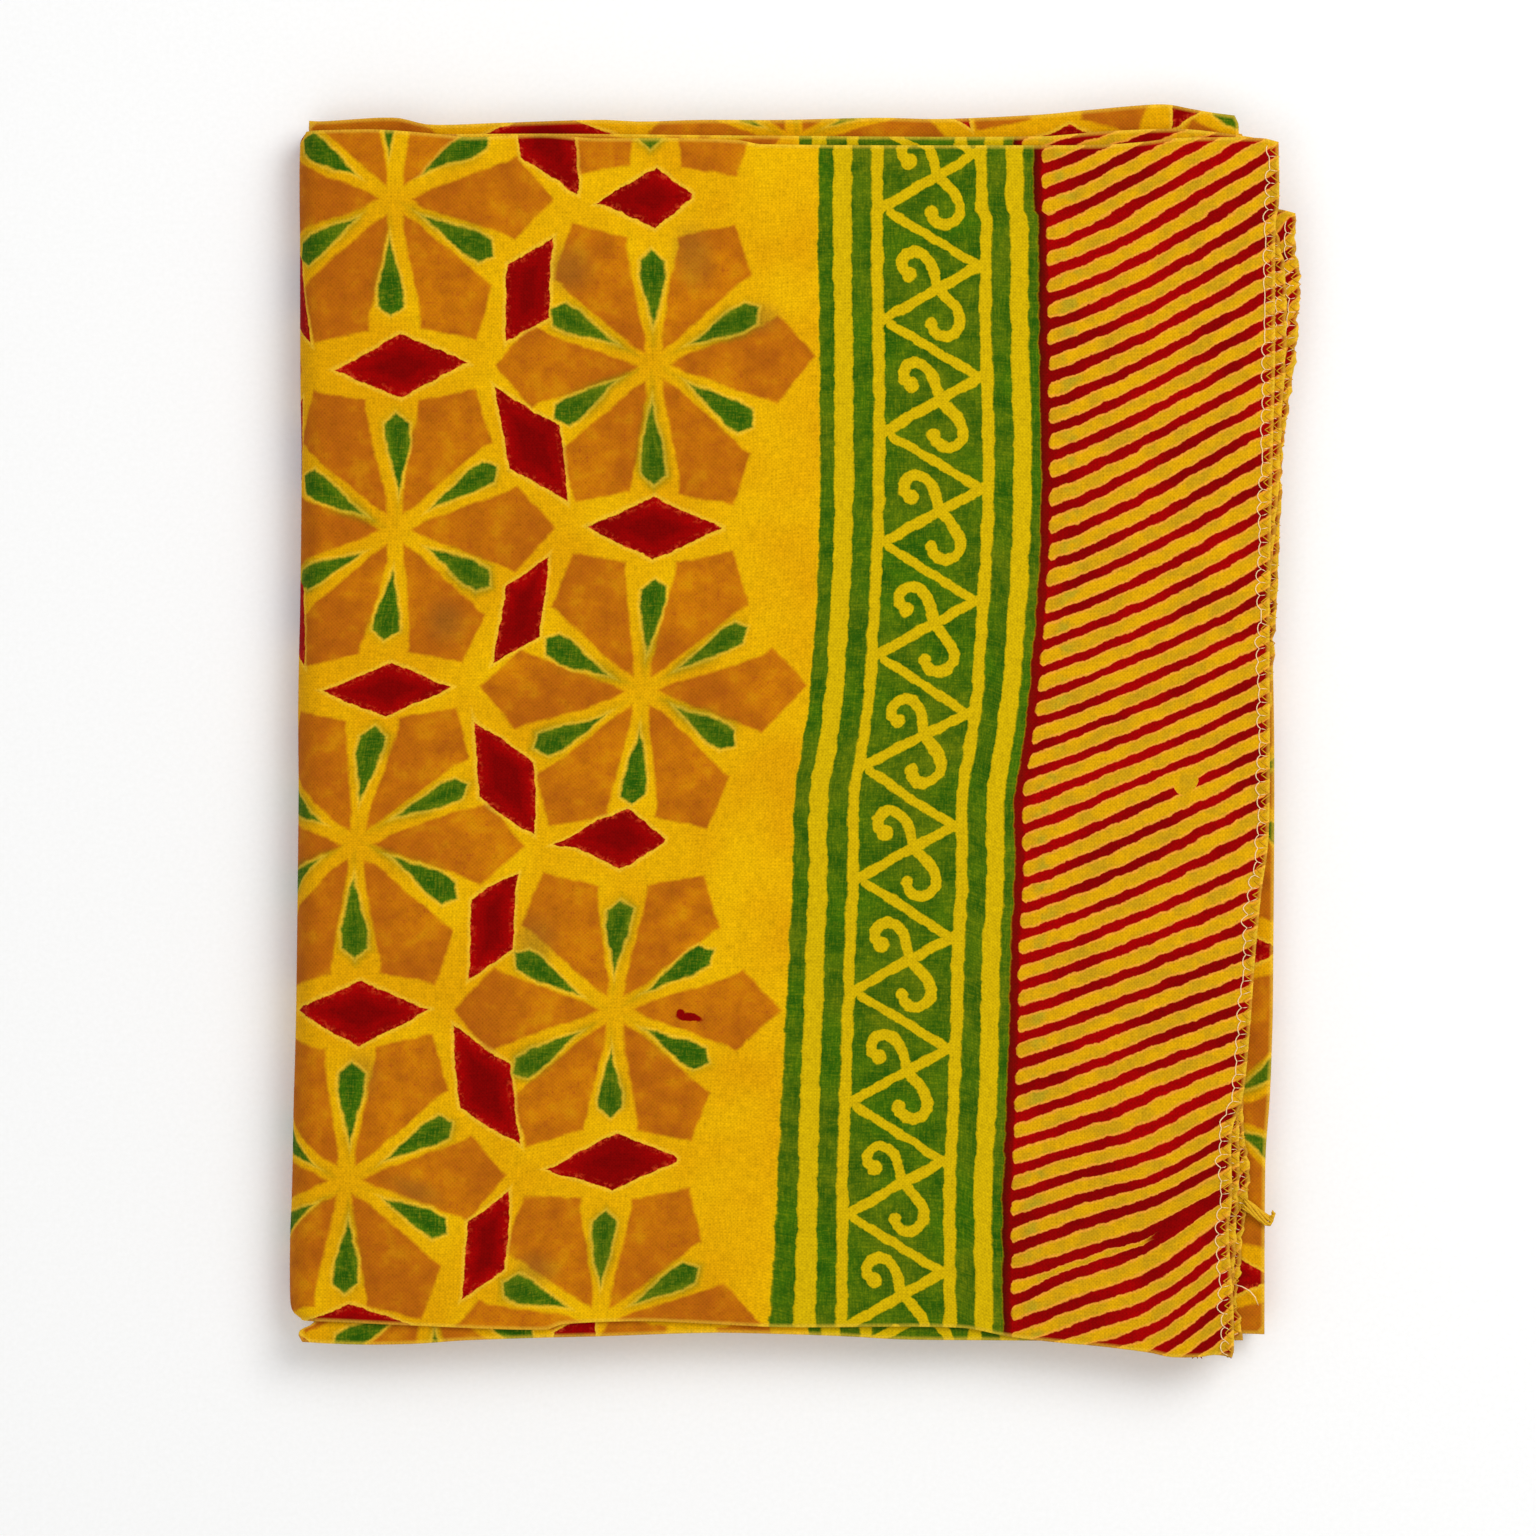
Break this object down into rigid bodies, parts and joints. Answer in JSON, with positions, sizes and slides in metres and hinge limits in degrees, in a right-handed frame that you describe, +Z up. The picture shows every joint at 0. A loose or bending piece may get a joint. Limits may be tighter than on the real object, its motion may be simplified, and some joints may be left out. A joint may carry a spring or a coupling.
{
  "type": "folded printed sarong",
  "caption": "Cotton sarong with block-printed rosettes, a scroll border and slanted stripes, folded flat into a packet with its overlocked ends at the right.",
  "frame": {"origin": "centre of the packet's footprint, on the surface that it lies on", "axes": "+X to the overlocked ends, away from the big left fold; +Y up the length of the packet; +Z up through its layers"},
  "size_m": [0.236, 0.2923, 0.0152],
  "materials": {
    "printed_cotton": "plain-weave cotton, block printed in yellow, orange, dark red and green",
    "overlock_thread": "pale spun thread, overlocked along the raw ends"
  },
  "bodies": {
    "root": {"front_panel": "printed_cotton", "second_panel": "printed_cotton", "third_panel": "printed_cotton", "rear_leaf": "printed_cotton", "inner_folds": "printed_cotton", "back_panel": "printed_cotton"}
  },
  "joints": []
}
